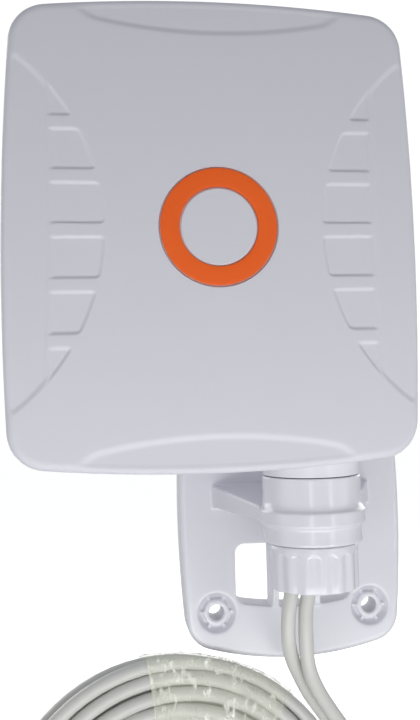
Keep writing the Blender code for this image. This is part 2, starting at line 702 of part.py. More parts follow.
def coil_wrap():
    """Clear film sleeve round the bundle, near the top of the coil."""
    low, high = (radians(a) for a in WRAP_ANGLES)
    steps = 8
    angles = [low + (high - low) * k / steps for k in range(steps + 1)]
    inner, outer = BUNDLE_R + 0.4, BUNDLE_R + 1.0
    rings = [coil_section(outer, a, 12) for a in angles]
    rings += [coil_section(inner, a, 12) for a in reversed(angles)]
    add_object("coil_wrap", loft(rings, True), "film_clear")


def tails():
    """Straight ends that hang off the coil's right side, each with its boot and connector."""
    for side, y in TAIL_Y.items():
        x = COIL_CENTRE[0] + TAIL_OUT
        end = TAIL_END[side]
        start = COIL_CENTRE[2] + TAIL_START
        count = 5
        route = [(x, y, start + (end - start) * k / count) for k in range(count + 1)]
        cable_tube(f"cable_{side}_tail", route)
        top = end - GAP
        for label, profile, finish in (("boot", BOOT, "boot_black"),
                                       ("connector", PLUG, "gold_plated")):
            bm = turned(profile, 16)
            bmesh.ops.translate(bm, verts=bm.verts, vec=(x, y, top))
            add_object(f"{label}_{side}", bm, finish)
        rings = [hexagon_ring(r, top + h) for r, h in COUPLING_HEX]
        rings += [round_ring(r, top + h) for r, h in COUPLING_BORE]
        bm = loft(rings, True)
        bmesh.ops.translate(bm, verts=bm.verts, vec=(x, y, 0))
        add_object(f"coupling_nut_{side}", bm, "gold_plated")


def round_ring(radius, height):
    angles = [2 * pi * k / COUPLING_POINTS for k in range(COUPLING_POINTS)]
    return [(radius * cos(a), radius * sin(a), height) for a in angles]


def hexagon_ring(radius, height):
    """As many points as a round ring, on a hexagon whose corners are at the radius."""
    points = []
    for k in range(COUPLING_POINTS):
        a = 2 * pi * k / COUPLING_POINTS
        from_flat = a % (pi / 3) - pi / 6
        r = radius * cos(pi / 6) / cos(from_flat)
        points.append((r * cos(a), r * sin(a), height))
    return points


def build():
    clear_scene()
    wall_bracket()
    gland_bush()
    axis = (0, AXIS_Y, 0)
    hang_on("panel_pivot", axis, PANEL_TURN, [
        swivel_neck, neck_seal, front_cover, rear_cover, cover_seal, accent_ring, case_screws,
        board_stack, radiators, cable_clamp, inner_leads])
    hang_on("nut_pivot", axis, 0, [clamp_washer, clamp_nut])
    free_leads()
    cable_coil()
    coil_wrap()
    tails()


build()
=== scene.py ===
"""Looks of the two-port panel antenna: its moulded shells, swivel, cables and film-wrapped coil.

Lengths in the constants are millimetres. The wall is the plane y = 0, and the panel's own axes
are across, up and depth, with depth counted back from its front face.
"""
import json
from math import atan, cos, hypot, pi, radians, sin, sqrt

import bmesh
import bpy
import numpy as np
from mathutils import Matrix, Vector, noise


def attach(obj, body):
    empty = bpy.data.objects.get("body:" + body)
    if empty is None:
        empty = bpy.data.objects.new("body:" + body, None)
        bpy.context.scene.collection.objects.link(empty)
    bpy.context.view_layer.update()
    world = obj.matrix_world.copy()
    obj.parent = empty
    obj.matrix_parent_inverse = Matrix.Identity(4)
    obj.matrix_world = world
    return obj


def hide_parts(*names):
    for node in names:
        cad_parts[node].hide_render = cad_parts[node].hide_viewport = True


MM = 0.001

# Camera: place in millimetres, and its right and up directions
CAMERA_AT = (-82.20, -435.03, 54.31)
CAMERA_RIGHT = (0.99273, -0.11821, -0.02273)
CAMERA_UP = (0.00701, -0.13167, 0.99127)
CAMERA_LENS = 50.75
CAMERA_SHIFT_Y = -0.1736

# Floor, in metres
STAGE_HALF_W = 4.0
STAGE_FLOOR_Z = -0.262

# World strengths, and the share of the white room that shows in gloss
WORLD_DIM = 0.23
WORLD_WHITE = 1.05
GLOSS_SHARE = 0.4

# Swivel
AXIS_Y = -55.0
PANEL_TURN = 2.8
SPIGOT_R = 13.2
SPIGOT_BORE_R = 11.5
SPIGOT_BOTTOM = -21.0
COLLAR_R = 18.0
EYE_TOP = 14.3
EYE_BOTTOM = -9.6
EYE_R = 18.2
EYE_FLANGE_R = 19.6
EYE_FILLET_Z = 2.4
EYE_FILLET_HIGH = 3.5
BORE_R = SPIGOT_R + 0.3
WASHER_R = 15.2
WASHER_THICK = 1.6
NUT_R = 16.4
NUT_TOP = -11.8
NUT_LIP_TOP = -10.1
NUT_BOTTOM = -26.2
FLUTES = 16
FLUTE_DEPTH = 0.55

# Wall plate and arm
PLATE_HALF_W = 45.8
PLATE_HALF_H = 62.3
PLATE_SIDE_BOW = 0.001
PLATE_END_BOW = 0.0039
PLATE_CORNER_R = 12.0
PLATE_DEPTH = 14.0
SCREW_HOLE = (31.5, 43.4)
SCREW_HOLE_R = 3.05
BOSS_R = 5.1
WELL_R = 7.6
WELL_DEPTH = 3.4
WINDOW_HALF_W = 23.5
WINDOW_Z = (16.9, 41.0)
WINDOW_ARCH = 2.4
WINDOW_CORNER_R = 3.5
RIB_X = (-7.4, 9.6)
RIB_THICK = 2.8
RIB_PROUD = 9.0
BACK_WEB = 3
BACK_ROUND = 1.5
ARM_ROOT_HALF_W = 33.0
ARM_ROOT_Z = (-1.8, 6.9)
ARM_TIP_Z = (-3.2, 2.4)
BRACKET_VOXEL = 0.42

# Panel
PANEL_X = -38.1
PANEL_Z = 103.0
FRONT_Y = AXIS_Y - 24.0
HALF_W = 75.0
HALF_H = 85.0
SIDE_BOW = 0.000456
END_BOW = 0.000835
CORNER_R = 14.0
EDGE_ROUND = 3.2
WALL = 2.4
FACE_WALL = 3.6
FRONT_DEPTH = 19.4
REAR_START = 20.6
REAR_DEPTH = 32.0
REAR_CORNER_R = 4.0
RING_OUTER_R = 21.07
RING_INNER_R = 14.3
RING_CENTRE = (1.3, 1.2)
MOAT_WIDTH = 0.35
MOAT_DEPTH = 1.0
BULGE_R = 22.6
BULGE_TOP = 58.0
FLANGE_POCKET_R = 20.2
FLANGE_POCKET_Z = 21.9
CASE_SCREWS = ((-66, -68), (66, -68), (-68, 0), (68, 0), (-66, 68), (66, 68))

# Relief of the front face
LENS_ARC_R = 80.0
LENS_APEX = 39.0
LENS_LINE_X = 57.0
LENS_TIP = 52.0
LENS_SINK = 0.8
RUNG_PITCH = 19.2
RUNG_HALF = 2.05
PAD_ROUND = 1.6
RUNG_EDGE = 0.95
ARC_EDGE = 1.3
OUTER_EDGE = 2.3
RUNG_RUN_OUT = 1.8
RAIL_WIDTH = 1.5
RAIL_RISE = 0.4
CRESCENT_START = 71.0
CRESCENT_BOW = 0.0024
CRESCENT_HALF_W = 52.0
CRESCENT_ROUND = 11.0
CRESCENT_SINK = 0.9
CRESCENT_EDGE = 2.6
OUTLINE_STEPS = (110, 44, 14)    # half of a side, half of an end, a corner
REAR_STEPS = (16, 16, 8)

# Cables
CABLE_R = 2.7
LEAD_X = {"left": -7.6, "right": -1.2}
LEAD_TOP = -14.3
COIL_CENTRE = (-50.0, -15.4, -129.3)
COIL_R = 58.6
TURNS = 8
STRAND_PITCH = 5.55
ROW_PITCH = STRAND_PITCH * sqrt(3) / 2
TAIL_Y = {"left": -9.4, "right": -21.4}
TAIL_X = 16.5
TAIL_END = {"left": -200.0, "right": -208.0}
WRAP_ANGLES = (50, 99)
FILM_LIFT = 0.4
FILM_FOLD = 0.5
FILM_RIPPLE = 0.24

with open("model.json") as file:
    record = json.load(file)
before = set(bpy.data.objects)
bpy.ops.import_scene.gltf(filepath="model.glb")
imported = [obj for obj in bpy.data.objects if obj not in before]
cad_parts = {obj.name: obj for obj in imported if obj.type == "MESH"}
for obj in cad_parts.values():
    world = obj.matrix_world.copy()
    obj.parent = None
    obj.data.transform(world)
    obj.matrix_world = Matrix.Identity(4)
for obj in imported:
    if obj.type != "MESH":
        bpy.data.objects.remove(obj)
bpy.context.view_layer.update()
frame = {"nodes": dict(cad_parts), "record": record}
nodes = frame["nodes"]


# ---------------------------------------------------------------- materials

def new_material(name, colour, rough, metal=0.0):
    mat = bpy.data.materials.new(name)
    mat.use_nodes = True
    shader = mat.node_tree.nodes["Principled BSDF"]
    shader.inputs["Base Color"].default_value = (*colour, 1.0)
    shader.inputs["Roughness"].default_value = rough
    shader.inputs["Metallic"].default_value = metal
    return mat, mat.node_tree, shader


def grain(tree, scale, detail=4.0, stretch=(1, 1, 1)):
    """A noise texture over object coordinates, which are metres."""
    coords = tree.nodes.new("ShaderNodeTexCoord")
    mapping = tree.nodes.new("ShaderNodeMapping")
    mapping.inputs["Scale"].default_value = stretch
    texture = tree.nodes.new("ShaderNodeTexNoise")
    texture.inputs["Scale"].default_value = scale
    texture.inputs["Detail"].default_value = detail
    tree.links.new(coords.outputs["Object"], mapping.inputs["Vector"])
    tree.links.new(mapping.outputs["Vector"], texture.inputs["Vector"])
    return texture


def vary(tree, source, socket, low, high, span=(0.0, 1.0)):
    """Colour or number that goes from one value to another as the noise crosses the span."""
    ramp = tree.nodes.new("ShaderNodeMapRange")
    ramp.inputs["From Min"].default_value, ramp.inputs["From Max"].default_value = span
    tree.links.new(source.outputs["Fac"], ramp.inputs["Value"])
    if isinstance(low, tuple):
        mix = tree.nodes.new("ShaderNodeMix")
        mix.data_type = "RGBA"
        mix.inputs[6].default_value = (*low, 1.0)
        mix.inputs[7].default_value = (*high, 1.0)
        tree.links.new(ramp.outputs["Result"], mix.inputs["Factor"])
        tree.links.new(mix.outputs[2], socket)
        return
    ramp.inputs["To Min"].default_value = low
    ramp.inputs["To Max"].default_value = high
    tree.links.new(ramp.outputs["Result"], socket)


def bump(tree, shader, source, strength, distance):
    node = tree.nodes.new("ShaderNodeBump")
    node.inputs["Strength"].default_value = strength
    node.inputs["Distance"].default_value = distance
    tree.links.new(source.outputs["Fac"], node.inputs["Height"])
    tree.links.new(node.outputs["Normal"], shader.inputs["Normal"])


def finish(name, low, high, rough, metal=0.0, scale=900.0, strength=0.08, stretch=(1, 1, 1),
           specular=0.5):
    """A surface with fine grain, and slow drifts of its colour and roughness."""
    mat, tree, shader = new_material(name, low, sum(rough) / 2, metal)
    shader.inputs["Specular IOR Level"].default_value = specular
    slow = grain(tree, 35.0, 3.0)
    vary(tree, slow, shader.inputs["Base Color"], low, high)
    vary(tree, slow, shader.inputs["Roughness"], *rough)
    fine = grain(tree, scale, 3.0, stretch)
    bump(tree, shader, fine, strength, 0.0001)
    return mat


def make_materials():
    made = {
        "cover_white": finish("cover_plastic", (0.72, 0.72, 0.775), (0.74, 0.74, 0.79),
                              (0.5, 0.58), scale=1500.0, strength=0.12, specular=0.35),
        "bracket_white": finish("bracket_plastic", (0.76, 0.76, 0.81), (0.78, 0.78, 0.825),
                                (0.17, 0.21), strength=0.02),
        "accent_orange": finish("ring_orange", (0.93, 0.13, 0.012), (0.96, 0.145, 0.016),
                                (0.42, 0.5), scale=1200.0, strength=0.08, specular=0.3),
        "cable_white": finish("cable_jacket", (0.6, 0.6, 0.57), (0.63, 0.63, 0.595),
                              (0.36, 0.44), scale=1400.0, strength=0.05),
        "rubber_grey": finish("rubber", (0.06, 0.06, 0.065), (0.08, 0.08, 0.085),
                              (0.65, 0.8), strength=0.15),
        "aluminium": finish("aluminium_sheet", (0.72, 0.73, 0.75), (0.78, 0.79, 0.8),
                            (0.3, 0.42), 1.0, 260.0, 0.1, (1, 1, 14)),
        "board_green": finish("solder_mask", (0.02, 0.16, 0.06), (0.03, 0.2, 0.08),
                              (0.3, 0.42), scale=700.0, strength=0.06),
        "brass_plate": finish("brass_sheet", (0.7, 0.5, 0.22), (0.76, 0.57, 0.28),
                              (0.28, 0.4), 1.0, 300.0, 0.08, (12, 1, 1)),
        "nylon_white": finish("nylon", (0.76, 0.76, 0.73), (0.8, 0.8, 0.77), (0.45, 0.55)),
        "steel": finish("zinc_steel", (0.55, 0.56, 0.58), (0.64, 0.64, 0.66),
                        (0.24, 0.36), 1.0, 1100.0, 0.08),
        "gold_plated": finish("gold_plating", (0.8, 0.56, 0.18), (0.86, 0.63, 0.24),
                              (0.18, 0.28), 1.0, 1300.0, 0.05),
        "boot_black": finish("boot_rubber", (0.012, 0.012, 0.013), (0.02, 0.02, 0.021),
                             (0.5, 0.62), scale=1100.0, strength=0.1),
    }
    film, tree, shader = new_material("wrap_film", (0.86, 0.88, 0.7), 0.1)
    shader.inputs["IOR"].default_value = 1.5
    bump(tree, shader, grain(tree, 330.0, 3.0), 0.4, 0.0006)
    # Whiter, more opaque streaks: folds in the film, together with painted highlights of its
    # crinkles
    creases_and_glints = grain(tree, 300.0, 3.0, (1.3, 1.3, 0.6))
    span = (0.54, 0.72)
    vary(tree, creases_and_glints, shader.inputs["Base Color"], (0.9, 0.93, 0.74), (1.0, 1.0, 0.97), span)
    vary(tree, creases_and_glints, shader.inputs["Alpha"], 0.13, 0.62, span)
    made["film_clear"] = film
    return made


MATERIALS = make_materials()


# ---------------------------------------------------------------- mesh helpers

def on_panel():
    """From the panel's (across, up, depth) axes, in metres, to the row frame."""
    lay = Matrix(((1, 0, 0, PANEL_X * MM), (0, 0, 1, FRONT_Y * MM), (0, 1, 0, PANEL_Z * MM),
                  (0, 0, 0, 1)))
    return turn_about_axis() @ lay


def turn_about_axis():
    place = Matrix.Translation((0, AXIS_Y * MM, 0))
    return place @ Matrix.Rotation(radians(PANEL_TURN), 4, "Z") @ place.inverted()


def add_mesh(name, points, faces, slot, place=None):
    """An object from points in millimetres, with its faces turned outward; place is applied to
    the mesh.
    """
    mesh = bpy.data.meshes.new(name)
    mesh.from_pydata([Vector(p) * MM for p in points], [], faces)
    if place is not None:
        mesh.transform(place)
    if slot:
        mesh.materials.append(MATERIALS[slot])
    obj = bpy.data.objects.new(name, mesh)
    bpy.context.scene.collection.objects.link(obj)
    face_outward(mesh)
    return obj


def face_outward(mesh):
    bm = bmesh.new()
    bm.from_mesh(mesh)
    bmesh.ops.recalc_face_normals(bm, faces=bm.faces)
    bm.to_mesh(mesh)
    bm.free()


def shade(obj, angle=32):
    obj.data.shade_smooth()
    obj.data.set_sharp_from_angle(angle=radians(angle))


def skin(rings, closed=False):
    """Points and faces of a tube through rings of equal length; single points close its ends."""
    points, starts = [], []
    for ring in rings:
        starts.append((len(points), len(ring)))
        points.extend(ring)
    pairs = list(zip(starts, starts[1:]))
    if closed:
        pairs.append((starts[-1], starts[0]))
    faces = []
    for (a, count_a), (b, count_b) in pairs:
        count = max(count_a, count_b)
        for i in range(count):
            j = (i + 1) % count
            if count_a == 1:
                faces.append((a, b + i, b + j))
            elif count_b == 1:
                faces.append((a + i, a + j, b))
            else:
                faces.append((a + i, a + j, b + j, b + i))
    if not closed:
        for start, count in (starts[0], starts[-1]):
            if count > 1:
                faces.append(tuple(range(start, start + count)))
    return points, faces


def turned(name, profile, segments, slot, closed=False, place=None, at=(0, 0, 0)):
    """Revolve (radius, height) points about the Z axis through a point."""
    rings = []
    for r, h in profile:
        if r < 1e-6:
            rings.append([(at[0], at[1], at[2] + h)])
            continue
        angles = [2 * pi * k / segments for k in range(segments)]
        rings.append([(at[0] + r * cos(a), at[1] + r * sin(a), at[2] + h) for a in angles])
    points, faces = skin(rings, closed)
    return add_mesh(name, points, faces, slot, place)


def rounded(profile, radius, steps=4, closed=False):
    """Round the corners of a (radius, height) profile."""
    count = len(profile)
    out = []
    for i, here in enumerate(profile):
        ends = not closed and i in (0, count - 1)
        if ends or here[0] < 1e-6:
            out.append(here)
            continue
        here = Vector(here)
        before = Vector(profile[i - 1]) - here
        after = Vector(profile[(i + 1) % count]) - here
        reach = min(radius, before.length * 0.45, after.length * 0.45)
        start, end = here + before.normalized() * reach, here + after.normalized() * reach
        for k in range(steps + 1):
            t = k / steps
            out.append(tuple(start * (1 - t) ** 2 + here * 2 * t * (1 - t) + end * t * t))
    return out


def barrel(half_w, half_h, side_bow, end_bow, radius, inset, steps):
    """Outline with bowed edges and round corners, counter-clockwise from the right side."""
    w, h, r = half_w - inset, half_h - inset, radius - inset
    side_at, end_at = h - r, w - r
    for _ in range(20):
        side_angle = atan(2 * side_bow * side_at)
        end_angle = atan(2 * end_bow * end_at)
        centre = (w - side_bow * side_at ** 2 - r * cos(side_angle),
                  h - end_bow * end_at ** 2 - r * cos(end_angle))
        side_at = centre[1] + r * sin(side_angle)
        end_at = centre[0] + r * sin(end_angle)
    quarter = []
    side_steps, end_steps, corner_steps = steps
    for k in range(side_steps):
        z = side_at * k / side_steps
        quarter.append((w - side_bow * z * z, z))
    for k in range(corner_steps + 1):
        a = side_angle + (pi / 2 - end_angle - side_angle) * k / corner_steps
        quarter.append((centre[0] + r * cos(a), centre[1] + r * sin(a)))
    for k in range(1, end_steps + 1):
        x = end_at * (1 - k / end_steps)
        quarter.append((x, h - end_bow * x * x))
    left_top = [(-x, z) for x, z in reversed(quarter[:-1])]
    left_bottom = [(-x, -z) for x, z in quarter[1:]]
    right_bottom = [(x, -z) for x, z in reversed(quarter[1:-1])]
    return quarter + left_top + left_bottom + right_bottom


def panel_outline(inset, depth, steps=OUTLINE_STEPS):
    points = barrel(HALF_W, HALF_H, SIDE_BOW, END_BOW, CORNER_R, inset, steps)
    return [(x, z, depth) for x, z in points]


def boolean(target, cutter, operation="DIFFERENCE"):
    """Apply a boolean at once and delete the other object."""
    mod = target.modifiers.new("boolean", "BOOLEAN")
    mod.operation = operation
    mod.solver = "MANIFOLD"
    mod.object = cutter
    apply_modifiers(target)
    bpy.data.objects.remove(cutter, do_unlink=True)


def apply_modifiers(obj):
    depsgraph = bpy.context.evaluated_depsgraph_get()
    depsgraph.update()
    mesh = bpy.data.meshes.new_from_object(obj.evaluated_get(depsgraph))
    obj.modifiers.clear()
    obj.data = mesh


def block(x, y, z, bevel=0.0):
    """A box from three (low, high) pairs, with its edges rounded when a bevel is given."""
    corners = [(x[0], y[0]), (x[1], y[0]), (x[1], y[1]), (x[0], y[1])]
    points, faces = skin([[(a, b, h) for a, b in corners] for h in z])
    obj = add_mesh("block", points, faces, None)
    if bevel:
        mod = obj.modifiers.new("round", "BEVEL")
        mod.width = bevel * MM
        mod.segments = 4
        apply_modifiers(obj)
    return obj


def ride(obj, body, slot, *replaced):
    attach(obj, body)
    if replaced:
        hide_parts(*replaced)


# ---------------------------------------------------------------- camera, lights, stage

def camera():
    right, up = Vector(CAMERA_RIGHT), Vector(CAMERA_UP)
    back = right.cross(up)
    data = bpy.data.cameras.new("camera")
    data.sensor_width = 36.0
    data.lens = CAMERA_LENS
    data.shift_y = CAMERA_SHIFT_Y
    data.clip_start = 0.01
    obj = bpy.data.objects.new("camera", data)
    bpy.context.scene.collection.objects.link(obj)
    turn = Matrix((right, up, back)).transposed().to_4x4()
    obj.matrix_world = Matrix.Translation(Vector(CAMERA_AT) * MM) @ turn
    bpy.context.scene.camera = obj


def area_light(name, at, target, size, power, colour=(1, 1, 1)):
    data = bpy.data.lights.new(name, "AREA")
    data.shape = "RECTANGLE"
    data.size, data.size_y = size
    data.energy = power
    data.color = colour
    obj = bpy.data.objects.new(name, data)
    bpy.context.scene.collection.objects.link(obj)
    obj.location = at
    obj.rotation_euler = (Vector(target) - Vector(at)).to_track_quat("-Z", "Y").to_euler()
    obj.visible_camera = False


def lights():
    area_light("key_from_below", (-0.02, -0.38, -0.26), (-0.02, -0.07, 0.0), (0.6, 0.25), 2.0)
    area_light("softbox_left", (-0.75, -0.35, 0.0), (-0.02, -0.05, 0.0), (0.6, 0.7), 0.95)
    area_light("softbox_right", (0.7, -0.5, -0.1), (0.0, -0.05, 0.0), (0.6, 0.7), 0.8)
    area_light("strip_left", (-0.18, -0.845, -0.1), (0, -0.055, 0), (0.006, 0.6), 0.6)
    area_light("strip_right", (0.44, -0.735, -0.1), (0, -0.055, 0), (0.006, 0.6), 0.6)
    area_light("back_left", (-0.75, 0.8, 0.35), (0.0, 0.0, -0.03), (0.8, 0.8), 5.2)
    area_light("back_right", (0.75, 0.8, 0.35), (0.0, 0.0, -0.03), (0.8, 0.8), 5.2)
    area_light("top", (0.0, 0.0, 0.9), (0.0, -0.03, 0.0), (0.6, 0.3), 0.9, (0.85, 0.88, 1.0))
    bpy.context.scene.view_settings.view_transform = "Standard"


def studio_world():
    """Dim, slightly cool light from all round, in a white room that gloss reflects in part."""
    world = bpy.data.worlds.new("studio")
    world.use_nodes = True
    tree = world.node_tree
    dim = tree.nodes["Background"]
    dim.inputs["Color"].default_value = (0.9, 0.92, 1.0, 1)
    dim.inputs["Strength"].default_value = WORLD_DIM
    white = tree.nodes.new("ShaderNodeBackground")
    white.inputs["Color"].default_value = (1, 1, 1, 1)
    white.inputs["Strength"].default_value = WORLD_WHITE
    seen = tree.nodes.new("ShaderNodeLightPath")
    share = tree.nodes.new("ShaderNodeMath")
    share.operation = "MULTIPLY_ADD"
    tree.links.new(seen.outputs["Is Glossy Ray"], share.inputs[0])
    share.inputs[1].default_value = GLOSS_SHARE
    tree.links.new(seen.outputs["Is Camera Ray"], share.inputs[2])
    mix = tree.nodes.new("ShaderNodeMixShader")
    tree.links.new(share.outputs["Value"], mix.inputs["Fac"])
    tree.links.new(dim.outputs["Background"], mix.inputs[1])
    tree.links.new(white.outputs["Background"], mix.inputs[2])
    tree.links.new(mix.outputs["Shader"], tree.nodes["World Output"].inputs["Surface"])
    bpy.context.scene.world = world


def stage():
    """Pale floor, so bright that it runs into the white behind it."""
    mat, _, shader = new_material("stage_floor", (0.8, 0.8, 0.8), 0.9)
    shader.inputs["Emission Color"].default_value = (1, 1, 1, 1)
    shader.inputs["Emission Strength"].default_value = 0.8
    w, z = STAGE_HALF_W, STAGE_FLOOR_Z
    mesh = bpy.data.meshes.new("stage_floor")
    mesh.from_pydata([(-w, -w, z), (w, -w, z), (w, w, z), (-w, w, z)], [], [(0, 1, 2, 3)])
    mesh.materials.append(mat)
    floor = bpy.data.objects.new("stage_floor", mesh)
    bpy.context.scene.collection.objects.link(floor)
    floor.visible_diffuse = False
    floor.visible_glossy = False


# ---------------------------------------------------------------- cables

def smooth_route(points, steps):
    """Points along a centripetal curve through the given ones."""
    pts = [Vector(p) for p in points]
    pts = [2 * pts[0] - pts[1], *pts, 2 * pts[-1] - pts[-2]]
    out = []
    for p0, p1, p2, p3 in zip(pts, pts[1:], pts[2:], pts[3:]):
        for k in range(steps):
            t = k / steps
            out.append(0.5 * (2 * p1 + (p2 - p0) * t + (2 * p0 - 5 * p1 + 4 * p2 - p3) * t * t
                              + (3 * p1 - p0 - 3 * p2 + p3) * t ** 3))
    out.append(pts[-2])
    return out


def lead_route(side):
    """Given route of a lead from the bush, down in front of the plate, to the coil."""
    x = LEAD_X[side]
    shared = [(0, 0, LEAD_TOP), (0, 0, -21.5), (-1.1, 0.1, -28), (-2.3, 0.5, -35)]
    points = [(x + dx, AXIS_Y + dy, z) for dx, dy, z in shared]
    if side == "left":
        points += [(-10.1, -52.9, -43.5), (-8.6, -49.6, -51.3), (-5.2, -45.0, -59.0),
                   (0.0, -39.0, -68.6), (5.6, -33.2, -76.7), (10.6, -28.0, -84.2),
                   (14.8, -23.4, -91.8), (16.9, -20.8, -97.3)]
    else:
        points += [(-3.7, -54.0, -44.5), (-2.6, -51.9, -55.0), (1.5, -47.5, -64.8),
                   (8.2, -40.6, -75.2), (13.6, -35.0, -83.4), (16.2, -30.6, -92.5),
                   (16.2, -26.9, -103.5)]
    return points


def strand_slots(side):
    """Places of one cable's eight turns across the bundle: out along one row, back on the next.

    The right cable has the two front rows and the left cable the two rows at the back.
    """
    front = -1.5 if side == "right" else 0.5
    inward = [(1.75 - k, front) for k in range(4)]
    outward = [(-1.75 + k, front + 1) for k in range(4)]
    return [(x * STRAND_PITCH, row * ROW_PITCH) for x, row in inward + outward]


def ease(t):
    t = min(max(t, 0.0), 1.0)
    return t * t * (3 - 2 * t)


def strand_offset(entry, slots, travelled, entry_angle):
    """Offset across the bundle after turning this many degrees clockwise from the entry."""
    angle = travelled - entry_angle
    turn = int((angle + 90) // 360)
    chain = [entry, *slots]
    here = chain[min(turn, TURNS)]
    there = chain[min(turn + 1, TURNS)]
    share = ease((angle - 360 * turn) / 190)
    return (here[0] + (there[0] - here[0]) * share, here[1] + (there[1] - here[1]) * share)


def bundle_point(angle, offset, wander):
    """A point of a strand, where the bundle's section rocks and loosens round the coil."""
    rock = 0.22 * sin(angle * 1.0 + 0.6) + 0.1 * sin(2 * angle)
    x, y = offset
    along = x * cos(rock) - y * sin(rock) + 0.5 * sin(3 * angle + wander)
    across = x * sin(rock) + y * cos(rock) + 0.45 * cos(2 * angle + 2.3 * wander)
    r = COIL_R + along
    cx, cy, cz = COIL_CENTRE
    return (cx + r * cos(angle), cy + across, cz + r * sin(angle))


def coil_route(side):
    """Control points of the turns, clockwise as seen from the front, 24 to a turn."""
    lead_end = lead_route(side)[-1]
    rel = (lead_end[0] - COIL_CENTRE[0], lead_end[2] - COIL_CENTRE[2])
    entry_angle = np.degrees(np.arctan2(rel[1], rel[0]))
    entry = (hypot(*rel) - COIL_R, lead_end[1] - COIL_CENTRE[1])
    slots = strand_slots(side)
    step = 15.0
    points = []
    travelled = entry_angle % step + step
    while travelled <= entry_angle + 360 * TURNS + 1e-6:
        offset = strand_offset(entry, slots, travelled, entry_angle)
        turn = travelled / 360
        angle = radians(entry_angle - travelled)
        point = Vector(bundle_point(angle, offset, 1.7 * turn))
        cx, cy, cz = COIL_CENTRE
        plain = Vector((cx + (COIL_R + offset[0]) * cos(angle), cy + offset[1],
                        cz + (COIL_R + offset[0]) * sin(angle)))
        left = entry_angle + 360 * TURNS - travelled
        fade = min(1.0, (travelled - step) / 120, max(left, 0.0) / 60)
        points.append(plain.lerp(point, fade))
        travelled += step
    return points


def tail_route(side):
    y, end = TAIL_Y[side], TAIL_END[side]
    start = COIL_CENTRE[2]
    slot_y = COIL_CENTRE[1] + strand_slots(side)[-1][1]
    out = []
    for down, drift in ((14, 0.3), (30, 0.85), (44, 1.0)):
        out.append((TAIL_X, slot_y + (y - slot_y) * drift, start - down))
    last = start - 44
    out += [(TAIL_X, y, last + (end - last) * k / 3) for k in (1, 2, 3)]
    return out


def cable(side):
    """One coaxial cable, from the bush to its boot, as a single line."""
    route = [Vector(p) for p in lead_route(side)] + coil_route(side)
    route += [Vector(p) for p in tail_route(side)]
    points = smooth_route(route, 3)
    name = f"coax_cable_{side}"
    curve = bpy.data.curves.new(name, "CURVE")
    curve.dimensions = "3D"
    curve.bevel_depth = CABLE_R * MM
    curve.bevel_resolution = 5
    curve.use_fill_caps = True
    spline = curve.splines.new("POLY")
    spline.points.add(len(points) - 1)
    for slot, point in zip(spline.points, points):
        slot.co = (*(point * MM), 1.0)
    curve.materials.append(MATERIALS["cable_white"])
    obj = bpy.data.objects.new(name, curve)
    bpy.context.scene.collection.objects.link(obj)
    replaced = [f"cable_{side}_lead", f"cable_{side}_tail"]
    if side == "left":
        replaced.append("cable_coil")
    ride(obj, "bracket", "cable_white", *replaced)
    return obj


def strands_at(angle):
    """Every strand's offset across the bundle at an angle of the coil, in radians."""
    found = []
    for side in LEAD_X:
        lead_end = lead_route(side)[-1]
        entry_angle = np.degrees(np.arctan2(lead_end[2] - COIL_CENTRE[2],
                                            lead_end[0] - COIL_CENTRE[0]))
        for turn, slot in enumerate(strand_slots(side)):
            travelled = entry_angle - np.degrees(angle) + 360 * (turn + 1)
            x, y, z = bundle_point(angle, slot, 1.7 * travelled / 360)
            r = hypot(x - COIL_CENTRE[0], z - COIL_CENTRE[2]) - COIL_R
            found.append((r, y - COIL_CENTRE[1]))
    return found


def film_wrap():
    """Crinkled clear film pulled round the bundle: the hull of its strands, plus folds."""
    around, steps, gap, thick = 120, 70, 0.35, 0.12
    low, high = WRAP_ANGLES
    ragged = {0: -0.6, steps: 0.6}
    rings = {gap: [], gap + thick: []}
    cx, cy, cz = COIL_CENTRE
    for k in range(steps + 1):
        share = k / steps
        angle = radians(low + (high - low) * share)
        strands = strands_at(angle)
        for lift, out in rings.items():
            ring = []
            for i in range(around):
                a = 2 * pi * i / around
                flap = 2.5 * sin(2 * a + 0.5) + 1.4 * sin(5 * a)
                lean = angle + radians(flap * ragged.get(k, 0.0))
                x, y = max(strands, key=lambda s: s[0] * cos(a) + s[1] * sin(a))
                fold = noise.noise(Vector((3.2 * cos(a), 3.2 * sin(a) + 2.0 * share, 9 * share)))
                ripple = noise.noise(Vector((11 * cos(a), 11 * sin(a), 26 * share + 4)))
                grow = CABLE_R + lift + FILM_LIFT + FILM_FOLD * fold + FILM_RIPPLE * ripple
                r = COIL_R + x + grow * cos(a)
                ring.append((cx + r * cos(lean), cy + y + grow * sin(a), cz + r * sin(lean)))
            out.append(ring)
    inner, outer = rings[gap], rings[gap + thick]
    points, faces = skin(outer + list(reversed(inner)), closed=True)
    obj = add_mesh("film_wrap", points, faces, "film_clear")
    shade(obj, 50)
    obj.visible_shadow = False
    ride(obj, "bracket", "film_clear", "coil_wrap")
    return obj


